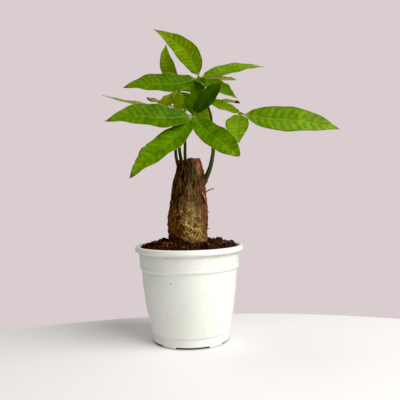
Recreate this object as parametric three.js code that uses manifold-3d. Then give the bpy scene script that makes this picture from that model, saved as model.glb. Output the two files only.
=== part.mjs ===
// Potted money tree: a cut trunk with three leaf stalks on its top and one green side shoot, in a plastic pot.
// Millimetres, +Z up. The pot stands on Z = 0 with its axis on the Z axis, and the viewer is on the -Y side.
import * as THREE from 'three';
import { mergeVertices } from 'three/addons/utils/BufferGeometryUtils.js';
import Module from 'manifold-3d';

const wasm = await Module();
wasm.setup();

// Pot
const POT_SIDES = 48;
const FOOT_GAP = 2.5;
const FLOOR_TOP = 4.2;
const FOOT_RADIUS = 44.8;
const PAD_INNER_RADIUS = 40;
const CENTRE_PAD_RADIUS = 12;
const SLOTS = 5;
const SLOT_WIDTH = 49;
const SLOT_TURN = 2.4;
const DRAIN_RADIUS = 4;
const DRAIN_CIRCLE = 31;
// radius and height of the outside, from the foot up to the top of the rolled rim
const POT_OUTSIDE = [
  [44.8, FOOT_GAP], [43.9, 10.8], [46.3, 12.6], [47.7, 22], [49.9, 32], [51.6, 41], [52.9, 51],
  [54.2, 60.5], [55.2, 71], [56, 84.2], [57.7, 86.8], [58.2, 94], [59, 104.3], [61.9, 104.8],
  [63.3, 105.8], [63.6, 107.4], [63, 109.6], [61, 111.5],
];
// radius and height of the inside, from the rim down to the floor
const POT_INSIDE = [
  [58.8, 111.2], [57.7, 109], [57.4, 103.6], [56.3, 88], [54.5, 84.6], [52.7, 60.5],
  [47.2, 27], [44.8, 13.4], [42.4, 11.6], [42.8, FLOOR_TOP],
];

// Soil
const CLEARANCE = 0.3;
const SOIL_SIDES = 44;
const SOIL_RINGS = 7;
const SOIL_LEVEL_AT_RIM = 109;
const SOIL_LEVEL_AT_TRUNK = 115.2;
const TRUNK_CENTRE_X = -1.5;
const TRUNK_HOLE_RADIUS = 24.9;
const SOIL_MIDDLE_RADIUS = 20;
const TRUNK_HOLE_FLOOR = 70;

// Trunk: height, left edge and right edge as seen from the front
const TRUNK_SIDES = 44;
const BURIED_RADIUS = 23.6;
const TRUNK_BURIED_TOP = 112;
const TRUNK_OUTLINE = [
  [116, -24.1, 22.0], [123, -24.0, 21.9], [131, -24.4, 22.4], [140, -24.9, 22.8], [147, -24.4, 22.7],
  [154, -22.9, 22.5], [160, -21.8, 22.2], [167, -20.9, 21.7], [174, -20.2, 21.0], [180, -19.2, 20.5],
  [186, -17.9, 20.2], [191, -16.2, 19.9], [196, -14.6, 19.4], [201, -13.7, 18.0], [205, -13.3, 17.0],
];
const CUT_HIGH = 212.4;
const CUT_LOW = 210.4;

// Green shoot that grows from the scar on the right of the trunk
const SHOOT_PATH = [[20, -1, 186.5], [23.8, -1, 195], [27.4, 0, 205], [30.2, 0, 219], [30.6, 0, 230]];
const SHOOT_RADII = [2.9, 2.8, 2.5, 2.2, 2.5];
const NODE_RADIUS = 2.9;

const colours = {
  pot: { color: 0xeeeee6, roughness: 0.38 },
  soil: { color: 0x2b1c14, roughness: 0.95 },
  bark: { color: 0x6d5534, roughness: 0.9 },
  shoot: { color: 0x3d5a22, roughness: 0.55 },
  leaf: { color: 0x4d8f1d, roughness: 0.45 },
};

// Leaves. The hub is where the leaflets meet. The stalk runs from the first point of its path to the hub.
// Each leaflet has the middle and the tip of its rib, its width, the part of its length at which it is widest,
// the way that its upper face looks, and the height of its edge's waves. sway bends the rib into a slight S.
const LEAVES = {
  leaf_top: {
    hub: [15, -12, 304],
    stalk: [[30.3, 0, 233.2], [30, 0, 247], [28.2, 0, 263], [22.6, -4, 282], [15, -12, 304]],
    radii: [1.5, 1.3, 1.15, 1.1, 1.3],
    leaflets: [
      {
        mid: [-1.8, 12, 343.7], tip: [-38.2, 30, 373.3], width: 25.3, widest: 0.42,
        face: [-1, -3, 1], wave: 0.8, sway: 0.4,
      },
      {
        mid: [58, 6, 317.7], tip: [95.5, 20, 323.2], width: 24.3, widest: 0.4,
        face: [0, -3.2, 4], wave: 0.5, sway: 1.3,
      },
      {
        mid: [42, 28, 310], tip: [65.6, 60, 316.6], width: 21, widest: 0.45,
        face: [0, 0.6, 12], wave: 0.4,
      },
      {
        mid: [33.2, -34, 288.1], tip: [54.6, -55, 272.4], width: 33.5, widest: 0.4,
        face: [1, -2, 2], wave: 0.7,
      },
      { mid: [13, -34, 286], tip: [7.5, -42, 258], width: 19, face: [-1, -2, 2], wave: 0.6 },
      {
        mid: [-29, -22, 295.6], tip: [-70, -30, 290.7], width: 29.4, widest: 0.44,
        face: [0, -3, 2], wave: 0.9, sway: -3,
      },
    ],
  },
  leaf_front: {
    hub: [7, -58, 255],
    stalk: [[-2.6, -10, 205], [-2.6, -15, 222], [-1, -30, 240], [7, -58, 255]],
    radii: [1.75, 1.7, 1.4, 1.3],
    leaflets: [
      {
        mid: [22.3, -58, 273], tip: [37, -52, 290], width: 20.5, widest: 0.48,
        face: [-1, -3, 1], wave: 0.6,
      },
      {
        mid: [-38, -75, 251.4], tip: [-82, -85, 246], width: 32.4, widest: 0.44,
        face: [0, -3, 2], wave: 0.8, sway: -3.5,
      },
      {
        mid: [-24, -84.4, 219.5], tip: [-57, -100, 188], width: 29, widest: 0.47,
        face: [-0.5, -2, 1.3], wave: 1.2, sway: -3.2,
      },
      {
        mid: [26, -88, 229.5], tip: [50, -112, 207.2], width: 25, widest: 0.56,
        face: [0, -4, 1], wave: 0.8, sway: 1.2,
      },
    ],
  },
  leaf_right: {
    hub: [64, 0, 264],
    stalk: [[33.5, 0, 231.4], [36.8, 0, 233.5], [45.4, 0, 242.4], [55, 0, 253.4], [64, 0, 264]],
    radii: [1.45, 1.4, 1.3, 1.2, 1.3],
    leaflets: [
      {
        mid: [120, -8, 254.5], tip: [179, -5, 243.5], width: 31.8, widest: 0.46,
        face: [0, -3, 1], wave: 0.8, sway: 1.9,
      },
      {
        mid: [54.8, -40, 243], tip: [54.2, -66, 224], width: 25.6, widest: 0.45,
        face: [0, -2, 3], wave: 0.7,
      },
      {
        mid: [43, 24, 277], tip: [20, 50, 294.5], width: 19, widest: 0.52,
        face: [0, -2, 3], wave: 0.6,
      },
    ],
  },
  leaf_back_left: {
    hub: [-9, 20, 296],
    stalk: [[-6.2, 0, 204], [-9.3, 0, 224], [-10, 6, 255], [-9, 20, 296]],
    radii: [1.85, 1.85, 1.4, 1.3],
    leaflets: [
      {
        mid: [-22.8, 46, 333], tip: [-24.6, 70, 366.5], width: 19.6, widest: 0.45, sway: 1.2,
        face: [-2, -3, 1], wave: 0.5,
      },
      {
        mid: [-20.2, 8, 281.4], tip: [-34, -2, 268], width: 25, widest: 0.52,
        face: [-1, -2, 3], wave: 0.5,
      },
      { mid: [-10, 5, 279], tip: [-9.4, -12, 259], width: 16, face: [1, -2, 2], wave: 0.5 },
      {
        mid: [9.7, 13, 275], tip: [27.6, 6, 252.8], width: 27, widest: 0.6,
        face: [1, -3, 2], wave: 0.5,
      },
      { mid: [8.5, 40, 304], tip: [28, 65, 313], width: 22, face: [0, -3, 2], wave: 0.5 },
    ],
  },
  leaf_back: {
    hub: [-3, 45, 275],
    stalk: [[-10.6, -5, 201], [-13.6, -4, 220], [-12, 12, 250], [-3, 45, 275]],
    radii: [1.75, 1.75, 1.4, 1.3],
    leaflets: [
      { mid: [-58, 60, 285.5], tip: [-110, 70, 302], width: 20, face: [0, 1, 8], wave: 0.6 },
      {
        mid: [-30.5, 88, 291.8], tip: [-48.6, 118, 300.4], width: 28, widest: 0.7,
        face: [0, 4, 10], wave: 0.5,
      },
      { mid: [12, 90, 296], tip: [24, 128, 306], width: 24, face: [0, 0, 1], wave: 0.6 },
      {
        mid: [37, 62, 287], tip: [71, 75, 289.2], width: 21, widest: 0.55,
        face: [0, 0.6, 8], wave: 0.6,
      },
      { mid: [-19, 25, 266], tip: [-32, 8, 257], width: 18, face: [0, -1, 3], wave: 0.6 },
    ],
  },
};

// Leaflet: places of its cross sections along the rib, and the points of each across the blade
const STATIONS = [0, 0.06, 0.14, 0.24, 0.35, 0.46, 0.57, 0.68, 0.79, 0.9, 1];
const ACROSS = [-1, -0.5, 0, 0.5, 1];
const WIDEST_AT = 0.4;
const BASE_FULLNESS = 0.85;
const TIP_HOLLOW = 1.04;
const FOLD = 0.2;
const EDGE_WAVES = 3.5;
const STALKLET_HALF_WIDTH = 0.9;
const TIP_HALF_WIDTH = 0.45;
const RIB_THICKNESS = 1.3;
const EDGE_THICKNESS = 0.7;

const X = new THREE.Vector3(1, 0, 0);
const Z = new THREE.Vector3(0, 0, 1);

// A closed surface through rings that have the same number of points, with a fan on each end.
function loft(rings) {
  const count = rings[0].length;
  const points = rings.flat();
  const faces = [];
  for (let i = 0; i + 1 < rings.length; i += 1) {
    for (let j = 0; j < count; j += 1) {
      const a = i * count + j;
      const b = i * count + ((j + 1) % count);
      faces.push(a, b, b + count, a, b + count, a + count);
    }
  }
  const ends = [rings[0], rings[rings.length - 1]];
  ends.forEach((ring, end) => {
    const centre = ring.reduce((sum, p) => sum.add(p), new THREE.Vector3()).divideScalar(count);
    const first = end === 0 ? 0 : (rings.length - 1) * count;
    points.push(centre);
    for (let j = 0; j < count; j += 1) {
      const pair = [first + j, first + ((j + 1) % count)];
      if (end === 0) pair.reverse();
      faces.push(points.length - 1, pair[0], pair[1]);
    }
  });
  return toGeometry(points, faces);
}

function toGeometry(points, faces) {
  const geometry = new THREE.BufferGeometry();
  const numbers = points.flatMap((p) => [p.x, p.y, p.z]);
  geometry.setAttribute('position', new THREE.Float32BufferAttribute(numbers, 3));
  geometry.setIndex(faces);
  return geometry;
}

function solid(source) {
  const bare = source.clone();
  bare.deleteAttribute('normal');
  bare.deleteAttribute('uv');
  const geometry = mergeVertices(bare, 1e-4);
  const shape = new wasm.Manifold(new wasm.Mesh({
    numProp: 3,
    vertProperties: new Float32Array(geometry.attributes.position.array),
    triVerts: new Uint32Array(geometry.index.array),
  }));
  return shape;
}

function geometryOf(shape) {
  const mesh = shape.getMesh();
  const geometry = new THREE.BufferGeometry();
  geometry.setAttribute('position', new THREE.BufferAttribute(new Float32Array(mesh.vertProperties), 3));
  geometry.setIndex(new THREE.BufferAttribute(new Uint32Array(mesh.triVerts), 1));
  geometry.computeVertexNormals();
  return geometry;
}

const group = new THREE.Group();
group.name = 'potted_money_tree';

function addNode(name, shape, look) {
  const material = new THREE.MeshStandardMaterial({ ...colours[look], metalness: 0, name: look });
  const mesh = new THREE.Mesh(geometryOf(shape), material);
  mesh.name = name;
  group.add(mesh);
}

function vector(p) {
  return new THREE.Vector3(p[0], p[1], p[2]);
}

// A round stem along a smooth path, with a radius at each point of the path.
function stem(path, radii, steps, sides) {
  const curve = new THREE.CatmullRomCurve3(path.map(vector));
  const rings = [];
  for (let i = 0; i <= steps; i += 1) {
    const t = i / steps;
    const centre = curve.getPoint(t);
    const along = curve.getTangent(t);
    const right = X.clone().addScaledVector(along, -X.dot(along)).normalize();
    const up = along.clone().cross(right);
    const place = t * (radii.length - 1);
    const low = Math.min(Math.floor(place), radii.length - 2);
    const radius = THREE.MathUtils.lerp(radii[low], radii[low + 1], place - low);
    rings.push(Array.from({ length: sides }, (_, j) => {
      const angle = (j / sides) * 2 * Math.PI;
      return centre.clone()
        .addScaledVector(right, radius * Math.cos(angle))
        .addScaledVector(up, radius * Math.sin(angle));
    }));
  }
  return solid(loft(rings));
}

function ball(centre, radius, stretch = 1) {
  const geometry = new THREE.SphereGeometry(radius, 10, 7);
  geometry.scale(1, 1, stretch);
  geometry.translate(...centre);
  return solid(geometry);
}

// Half width along the rib: it widens fast from the stalklet, and narrows hollow to the drip tip.
function leafHalfWidth(t, width, widest) {
  const tipPower = TIP_HOLLOW * (BASE_FULLNESS * (1 - widest)) / widest;
  const shape = (t / widest) ** BASE_FULLNESS * ((1 - t) / (1 - widest)) ** tipPower;
  const least = THREE.MathUtils.lerp(STALKLET_HALF_WIDTH, TIP_HALF_WIDTH, t);
  return Math.max(least, (width / 2) * shape * THREE.MathUtils.smoothstep(t, 0, 0.12));
}

function leaflet(hub, { mid, tip, width, widest = WIDEST_AT, face, wave, sway = 0 }) {
  const start = vector(hub);
  const end = vector(tip);
  // the bend point of a curve that passes through the middle of the rib
  const bend = vector(mid).multiplyScalar(2).addScaledVector(start, -0.5).addScaledVector(end, -0.5);
  const rib = new THREE.QuadraticBezierCurve3(start, bend, end);
  const looks = vector(face).normalize();
  const rings = STATIONS.map((t) => {
    const centre = rib.getPoint(t);
    const along = rib.getTangent(t);
    const side = along.clone().cross(looks).normalize();
    const up = side.clone().cross(along).normalize();
    centre.addScaledVector(side, sway * Math.sin(2 * Math.PI * t));
    const half = leafHalfWidth(t, width, widest);
    const blade = Math.min(1, half / (width / 4));
    const place = (u, faceSign) => {
      const thick = THREE.MathUtils.lerp(RIB_THICKNESS, EDGE_THICKNESS, Math.abs(u)) / 2;
      const ripple = wave * blade * u * u * Math.sin(2 * Math.PI * EDGE_WAVES * t + (u > 0 ? 0 : 2));
      const lift = FOLD * half * Math.abs(u) * blade + ripple + faceSign * thick;
      return centre.clone().addScaledVector(side, u * half).addScaledVector(up, lift);
    };
    const above = ACROSS.map((u) => place(u, 1));
    const below = ACROSS.map((u) => place(u, -1)).reverse();
    return [...above, ...below];
  });
  return solid(loft(rings));
}

function compoundLeaf(name, { hub, stalk, radii, leaflets }) {
  let shape = stem(stalk, radii, 10, 8).add(ball(hub, 2.4, 0.8));
  leaflets.forEach((row) => {
    shape = shape.add(leaflet(hub, row));
  });
  addNode(name, shape, 'leaf');
}

// Pot: one turned body, less the slots under the foot and the drain holes
function turned(profile, sides) {
  const geometry = new THREE.LatheGeometry(profile.map(([r, z]) => new THREE.Vector2(r, z)), sides);
  geometry.rotateX(Math.PI / 2);
  return solid(geometry);
}

function ringSector(inner, outer, height, from, width) {
  const shape = new THREE.Shape();
  shape.absarc(0, 0, outer, from - width / 2, from + width / 2, false);
  shape.absarc(0, 0, inner, from + width / 2, from - width / 2, true);
  return solid(new THREE.ExtrudeGeometry(shape, { depth: height, bevelEnabled: false, curveSegments: 8 }));
}

const potProfile = [[0, FOOT_GAP], [PAD_INNER_RADIUS, FOOT_GAP], ...POT_OUTSIDE, ...POT_INSIDE, [0, FLOOR_TOP]];
let pot = turned(potProfile, POT_SIDES);
const padWidth = THREE.MathUtils.degToRad(360 / SLOTS - SLOT_WIDTH);
for (let i = 0; i < SLOTS; i += 1) {
  const slotAngle = THREE.MathUtils.degToRad(SLOT_TURN - 90) + (i * 2 * Math.PI) / SLOTS;
  const padAngle = slotAngle + Math.PI / SLOTS;
  pot = pot.add(ringSector(PAD_INNER_RADIUS, FOOT_RADIUS - 0.2, FOOT_GAP + 0.8, padAngle, padWidth));
  const drain = new THREE.CylinderGeometry(DRAIN_RADIUS, DRAIN_RADIUS, 4 * FLOOR_TOP, 20);
  drain.rotateX(Math.PI / 2);
  drain.translate(DRAIN_CIRCLE * Math.cos(slotAngle), DRAIN_CIRCLE * Math.sin(slotAngle), 0);
  pot = pot.subtract(solid(drain));
}
const centrePad = new THREE.CylinderGeometry(CENTRE_PAD_RADIUS, CENTRE_PAD_RADIUS, FOOT_GAP + 0.8, 32);
centrePad.rotateX(Math.PI / 2);
centrePad.translate(0, 0, (FOOT_GAP + 0.8) / 2);
pot = pot.add(solid(centrePad));
addNode('pot', pot, 'pot');

// Soil: fills the pot, clear of its wall, with a crumbly mounded top
function soilLevel(radius, angle) {
  const t = THREE.MathUtils.clamp((radius - TRUNK_HOLE_RADIUS) / (POT_INSIDE[2][0] - TRUNK_HOLE_RADIUS), 0, 1);
  const x = radius * Math.cos(angle);
  const y = radius * Math.sin(angle);
  const slope = THREE.MathUtils.lerp(SOIL_LEVEL_AT_TRUNK, SOIL_LEVEL_AT_RIM, t * t);
  const fade = Math.min(1, (1 - t) * 5);
  const crumbs = 0.9 * Math.sin(0.42 * x + 1.3) * Math.sin(0.47 * y + 0.4)
    + 0.7 * Math.sin(0.83 * x - 0.61 * y) + 0.5 * Math.sin(1.3 * y + 0.9 * x + 2);
  return slope + fade * crumbs + clods(x, y);
}

// single clods: place, radius and height
const CLODS = [
  [36, 8, 8, 2.3], [-31, 14, 6, 2.1], [46, -14, 5, 1.7], [-42, -16, 6, 2],
  [20, -40, 6, 1.6], [-12, 42, 8, 2.6], [51, 8, 5, 2],
];
function clods(x, y) {
  return CLODS.reduce((sum, [cx, cy, r, h]) => {
    const d = Math.hypot(x - cx, y - cy) / r;
    return sum + h * Math.max(0, 1 - d * d);
  }, 0);
}

const inside = POT_INSIDE.slice(2).map(([r, z]) => [r - CLEARANCE, z]).reverse();
inside[0][1] = FLOOR_TOP + CLEARANCE;
const soilRings = [];
const circle = (radius, height) => Array.from({ length: SOIL_SIDES }, (_, j) => {
  const angle = (j / SOIL_SIDES) * 2 * Math.PI;
  const z = typeof height === 'function' ? height(radius, angle) : height;
  return new THREE.Vector3(radius * Math.cos(angle), radius * Math.sin(angle), z);
});
inside.forEach(([r, z]) => soilRings.push(circle(r, z)));
for (let i = 0; i <= SOIL_RINGS; i += 1) {
  const radius = THREE.MathUtils.lerp(POT_INSIDE[2][0] - CLEARANCE, SOIL_MIDDLE_RADIUS, i / SOIL_RINGS);
  soilRings.push(circle(radius, soilLevel));
}
const holeDepth = 2 * (SOIL_LEVEL_AT_TRUNK - TRUNK_HOLE_FLOOR);
const trunkHole = new THREE.CylinderGeometry(TRUNK_HOLE_RADIUS, TRUNK_HOLE_RADIUS, holeDepth, TRUNK_SIDES);
trunkHole.rotateX(Math.PI / 2);
trunkHole.translate(TRUNK_CENTRE_X, 0, TRUNK_HOLE_FLOOR + holeDepth / 2);
addNode('soil', solid(loft(soilRings)).subtract(solid(trunkHole)), 'soil');

// Trunk
function outlineAt(z) {
  const rows = TRUNK_OUTLINE;
  let i = 0;
  while (i < rows.length - 2 && z > rows[i + 1][0]) i += 1;
  const t = THREE.MathUtils.clamp((z - rows[i][0]) / (rows[i + 1][0] - rows[i][0]), 0, 2.2);
  return [1, 2].map((side) => THREE.MathUtils.lerp(rows[i][side], rows[i + 1][side], t));
}

function bark(angle, z) {
  const ridges = 0.55 * Math.sin(11 * angle + 1.1 * Math.sin(z / 13)) + 0.4 * Math.sin(17 * angle - z / 19);
  const knobs = 0.55 * Math.sin(7 * angle + z * 0.31) * Math.sin(z * 0.43 + 2 * angle);
  const low = THREE.MathUtils.smoothstep(175 - z, 0, 40);
  return ridges * (1 - 0.5 * low) + knobs * (0.5 + low) - 0.6;
}

const trunkRings = [];
const buried = [TRUNK_HOLE_FLOOR + CLEARANCE, 90, TRUNK_BURIED_TOP - 6];
buried.forEach((z) => trunkRings.push(trunkRing(z, 0)));
TRUNK_OUTLINE.forEach(([z]) => trunkRings.push(trunkRing(z, 1)));
trunkRings.push(cutRing(1, 0.5), cutRing(1, 1), cutRing(0.82, 1), cutRing(0.4, 1));

function trunkRing(z, relief) {
  const plain = [TRUNK_CENTRE_X - BURIED_RADIUS, TRUNK_CENTRE_X + BURIED_RADIUS];
  const [left, right] = relief ? outlineAt(z) : plain;
  return Array.from({ length: TRUNK_SIDES }, (_, j) => {
    const angle = (j / TRUNK_SIDES) * 2 * Math.PI;
    const radius = (right - left) / 2 + relief * bark(angle, z);
    return new THREE.Vector3((left + right) / 2 + radius * Math.cos(angle), radius * Math.sin(angle), z);
  });
}

// The sawn top: higher on the right, with a worn right shoulder and a shallow hollow
function cutRing(share, rise) {
  const base = TRUNK_OUTLINE[TRUNK_OUTLINE.length - 1][0];
  const [left, right] = outlineAt(base + 7 * rise * share);
  const centre = (left + right) / 2;
  return Array.from({ length: TRUNK_SIDES }, (_, j) => {
    const angle = (j / TRUNK_SIDES) * 2 * Math.PI;
    const radius = ((right - left) / 2 + bark(angle, base) * (2 - rise)) * share;
    const x = centre + radius * Math.cos(angle);
    const y = radius * Math.sin(angle);
    const top = THREE.MathUtils.lerp(CUT_LOW, CUT_HIGH, THREE.MathUtils.smoothstep(x, -3, 2));
    const worn = 0.5 * Math.sin(0.9 * x + 1) * Math.sin(0.7 * y) - 1.2 * (1 - share);
    return new THREE.Vector3(x, y, THREE.MathUtils.lerp(base, top + worn, rise));
  });
}

let trunk = solid(loft(trunkRings));
const scar = new THREE.SphereGeometry(5.6, 12, 8);
scar.scale(0.8, 1.1, 1);
scar.translate(19.4, -1, 187.5);
trunk = trunk.add(solid(scar));
const twigPath = [[18, -1, 171], [22.5, -1, 174], [27, -2, 176.4], [31.5, -2, 177.6]];
trunk = trunk.add(stem(twigPath, [1.6, 0.8, 0.6, 0.4], 6, 6));
const flake = new THREE.BoxGeometry(3, 4, 12, 1, 1, 3);
flake.rotateX(0.35);
flake.rotateZ(-0.58);
flake.translate(17.4, -11.5, 166.5);
trunk = trunk.add(solid(flake));
const socketRadii = [SHOOT_RADII[0] + CLEARANCE, SHOOT_RADII[1] + CLEARANCE];
trunk = trunk.subtract(stem(SHOOT_PATH.slice(0, 2), socketRadii, 3, 12));
['leaf_front', 'leaf_back_left', 'leaf_back'].forEach((name) => {
  const [low, high] = LEAVES[name].stalk;
  const start = vector(low).addScaledVector(vector(high).sub(vector(low)).normalize(), -CLEARANCE);
  const radius = LEAVES[name].radii[0] + CLEARANCE + 0.1;
  trunk = trunk.subtract(stem([start.toArray(), high], [radius, radius], 2, 12));
});
addNode('trunk', trunk, 'bark');

// Shoot, with a rounded node at its fork
const fork = SHOOT_PATH[SHOOT_PATH.length - 1];
addNode('shoot_right', stem(SHOOT_PATH, SHOOT_RADII, 12, 12).add(ball(fork, NODE_RADIUS)), 'shoot');

Object.entries(LEAVES).forEach(([name, leaf]) => compoundLeaf(name, leaf));

export default group;
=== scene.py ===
"""Potted money tree: the fine surfaces, materials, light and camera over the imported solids.

Lengths in the tables are millimetres in the frame of the part: +Z up, the viewer on the -Y side.
Every new surface is worked out with numpy as whole arrays and then put into a mesh.
"""

import bmesh
import bpy
import numpy as np
from mathutils import Matrix


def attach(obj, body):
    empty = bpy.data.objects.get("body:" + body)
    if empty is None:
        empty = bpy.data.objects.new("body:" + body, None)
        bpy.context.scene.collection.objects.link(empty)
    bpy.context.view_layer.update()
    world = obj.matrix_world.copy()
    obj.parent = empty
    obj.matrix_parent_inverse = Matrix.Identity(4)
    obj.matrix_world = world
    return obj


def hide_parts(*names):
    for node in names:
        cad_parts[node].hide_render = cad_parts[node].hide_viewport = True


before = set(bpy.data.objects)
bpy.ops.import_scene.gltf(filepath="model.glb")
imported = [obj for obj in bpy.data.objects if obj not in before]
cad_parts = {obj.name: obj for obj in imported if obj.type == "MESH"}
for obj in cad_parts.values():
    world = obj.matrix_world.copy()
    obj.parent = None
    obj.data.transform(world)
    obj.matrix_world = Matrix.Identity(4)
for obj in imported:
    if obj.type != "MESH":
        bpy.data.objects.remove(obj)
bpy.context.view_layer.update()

MM = 0.001
TURN = 2 * np.pi


def add_object(name, data):
    thing = bpy.data.objects.new(name, data)
    bpy.context.collection.objects.link(thing)
    return thing


def set_down(thing, place, right, up, back):
    """Puts a camera or a light at a place, with its own three axes along the given ones."""
    axes = Matrix(np.stack([right, up, back], axis=1).tolist())
    thing.matrix_world = Matrix.Translation(place) @ axes.to_4x4()


# Camera, as solved from the ellipses of the pot's rim and foot

CAMERA_PLACE = (0, -0.6, 0.175)
CAMERA_TURNS = np.radians([1.31, -1.09, -1.14])
LENS, SENSOR, NEAREST = 45.9, 36, 0.02


def place_camera(yaw, pitch, roll):
    """The camera looks forward, which is +Y turned by yaw and pitch, and its other two axes turn by roll about it."""
    forward = np.array([np.sin(yaw) * np.cos(pitch), np.cos(yaw) * np.cos(pitch), np.sin(pitch)])
    level = np.array([np.cos(yaw), -np.sin(yaw), 0])
    upright = np.cross(level, forward)
    right = np.cos(roll) * level + np.sin(roll) * upright
    up = -np.sin(roll) * level + np.cos(roll) * upright
    data = bpy.data.cameras.new("camera")
    data.sensor_width = SENSOR
    data.lens = LENS
    data.clip_start = NEAREST
    camera = add_object("camera", data)
    set_down(camera, CAMERA_PLACE, right, up, -forward)
    bpy.context.scene.camera = camera


place_camera(*CAMERA_TURNS)

# Noise for relief

LATTICE_SIZE = 8192
LATTICE_MIX = np.array([73856093, 19349663, 83492791])


def lattice_values(cell, seed):
    """A fixed random number from 0 to 1 for each whole-number place: the place is mixed into one number,
    which picks from a seeded table."""
    table = np.random.default_rng(seed).random(LATTICE_SIZE)
    return table[np.bitwise_xor.reduce(cell * LATTICE_MIX, axis=-1) & (LATTICE_SIZE - 1)]


def soft_noise(points, seed):
    """Smooth noise from -1 to 1: the lattice values at the eight corners round each point, blended by a
    smooth step."""
    cell = np.floor(points).astype(np.int64)
    part = points - cell
    ease = part * part * (3 - 2 * part)
    total = 0
    for corner in np.ndindex(2, 2, 2):
        share = np.prod(np.where(corner, ease, 1 - ease), axis=-1)
        total = total + share * lattice_values(cell + corner, seed)
    return 2 * total - 1


def layered_noise(points, seed, layers=4):
    """Soft noise summed over layers, each half as high and twice as fine as the one before."""
    total = 0
    for layer in range(layers):
        total = total + soft_noise(points * 2**layer, seed + layer) * 0.5**layer
    return total


def pebble_heights(points, seed):
    """From 1 at the middle of a pebble to 0 between pebbles: the distance to the nearest of the random points
    that lie one in each cell."""
    cell = np.floor(points).astype(np.int64)
    nearest = np.inf
    for step in np.ndindex(3, 3, 3):
        neighbour = cell + step - 1
        jitter = np.stack([lattice_values(neighbour, seed + axis) for axis in range(3)], axis=-1)
        gap = neighbour + 0.15 + 0.7 * jitter - points
        nearest = np.minimum(nearest, (gap**2).sum(-1))
    return np.clip(1 - nearest / 0.55, 0, 1)


def rise(low, high, value):
    """0 up to low, 1 from high on, and a smooth step between them."""
    t = np.clip((value - low) / (high - low), 0, 1)
    return t * t * (3 - 2 * t)


def spot(*ways):
    """1 at a place and fading round it: e to the minus sum of squares, where each way is (value, centre, reach)."""
    return np.exp(-sum(((value - centre) / reach) ** 2 for value, centre, reach in ways))


# Meshes from rings of points


def ring_faces(rings, sides):
    """Corners of the quads between closed rings of points that are numbered ring by ring."""
    ring, side = np.meshgrid(np.arange(rings - 1), np.arange(sides), indexing="ij")
    here, after = ring * sides, (side + 1) % sides
    return np.stack([here + side, here + after, here + sides + after, here + sides + side], axis=-1).reshape(-1, 4)


def ring_angles(sides):
    return np.arange(sides) * TURN / sides


def vectors(x, y, z):
    return np.stack(np.broadcast_arrays(x, y, z), -1)


def polar(radius, angle, z):
    """Points at a radius, an angle about the Z axis and a height."""
    return vectors(radius * np.cos(angle), radius * np.sin(angle), z)


def marked(part, **marks):
    """A shape with other vectors for the materials to read: one for all its points, or one for each."""
    size = part["points"].shape
    return {**part, **{key: np.broadcast_to(np.reshape(value, (-1, 3)), size) for key, value in marks.items()}}


def shape(points, faces, place=(0, 0, 0), tone=(0, 0, 0)):
    """One closed shape: points in mm, its faces, and the two vectors that the materials read."""
    return marked({"points": points.reshape(-1, 3), "faces": faces}, place=place, tone=tone)


def joined(shapes):
    """Several shapes as one, with the corner numbers of each moved past the points before it."""
    starts = np.cumsum([0] + [len(s["points"]) for s in shapes[:-1]])
    whole = {key: np.concatenate([s[key] for s in shapes]) for key in ("points", "place", "tone")}
    whole["faces"] = [face for s, start in zip(shapes, starts) for face in (np.asarray(s["faces"]) + start).tolist()]
    return whole


def clean(mesh, merge_within=1e-7):
    """Merges the points that lie together, and turns all faces outwards."""
    work = bmesh.new()
    work.from_mesh(mesh)
    bmesh.ops.remove_doubles(work, verts=work.verts, dist=merge_within)
    bmesh.ops.recalc_face_normals(work, faces=work.faces)
    work.to_mesh(mesh)
    work.free()


def make_piece(node, parts, material):
    """An object at the origin from shapes in mm. It rides on the part's one body and stands for the node."""
    name = node + "_fine"
    whole = joined(parts)
    mesh = bpy.data.meshes.new(name)
    mesh.from_pydata((whole["points"] * MM).tolist(), [], whole["faces"])
    for key in ("place", "tone"):
        layer = mesh.attributes.new(key, "FLOAT_VECTOR", "POINT")
        layer.data.foreach_set("vector", whole[key].astype(np.float32).ravel())
    clean(mesh)
    mesh.polygons.foreach_set("use_smooth", [True] * len(mesh.polygons))
    mesh.materials.append(material)
    piece = add_object(name, mesh)
    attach(piece, "root")
    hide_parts(node)


def smooth_path(points, count):
    """Points along a curve through the given ones: each stretch is a cubic whose slope at a point is half the
    step from the point before it to the one after."""
    p = np.asarray(points, float)
    ends = np.vstack([2 * p[0] - p[1], p, 2 * p[-1] - p[-2]])
    s = np.linspace(0, len(p) - 1, count)
    i = np.minimum(s.astype(int), len(p) - 2)
    t = (s - i)[:, None]
    a, b, c, d = (ends[i + k] for k in range(4))
    return 0.5 * (2 * b + (c - a) * t + (2 * a - 5 * b + 4 * c - d) * t**2 + (3 * b - a - 3 * c + d) * t**3)


def unit(v):
    return v / np.maximum(np.linalg.norm(v, axis=-1, keepdims=True), 1e-12)


def drawn(values, count):
    """The given values at even steps, drawn out to more of them by straight lines."""
    return np.interp(np.linspace(0, 1, count), np.linspace(0, 1, len(values)), values)


def tube(path, radii, rows, sides, across=(1, 0, 0), rough=0, seed=0, tone=(0, 0, 0)):
    """A round stem: circles about a smooth path, square to it, with the radius drawn from the given ones.
    rough presses the surface in and out by noise. Each end closes in a point."""
    centre = smooth_path(path, rows)
    along = unit(np.gradient(centre, axis=0))
    right = unit(across - along * (along @ across)[:, None])
    up = np.cross(along, right)
    angle = ring_angles(sides)
    ring = np.cos(angle)[:, None] * right[:, None] + np.sin(angle)[:, None] * up[:, None]
    base = centre[:, None] + ring * drawn(radii, rows)[:, None, None]
    base = base + ring * rough * layered_noise(base / 2.2 + seed, seed)[..., None]
    first, last = (np.repeat(centre[[end], None], sides, 1) for end in (0, -1))
    place = vectors(np.r_[0, np.linspace(0, 1, rows), 1][:, None], angle / TURN, 0)
    return shape(np.concatenate([first, base, last]), ring_faces(rows + 2, sides), place, tone)


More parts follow.
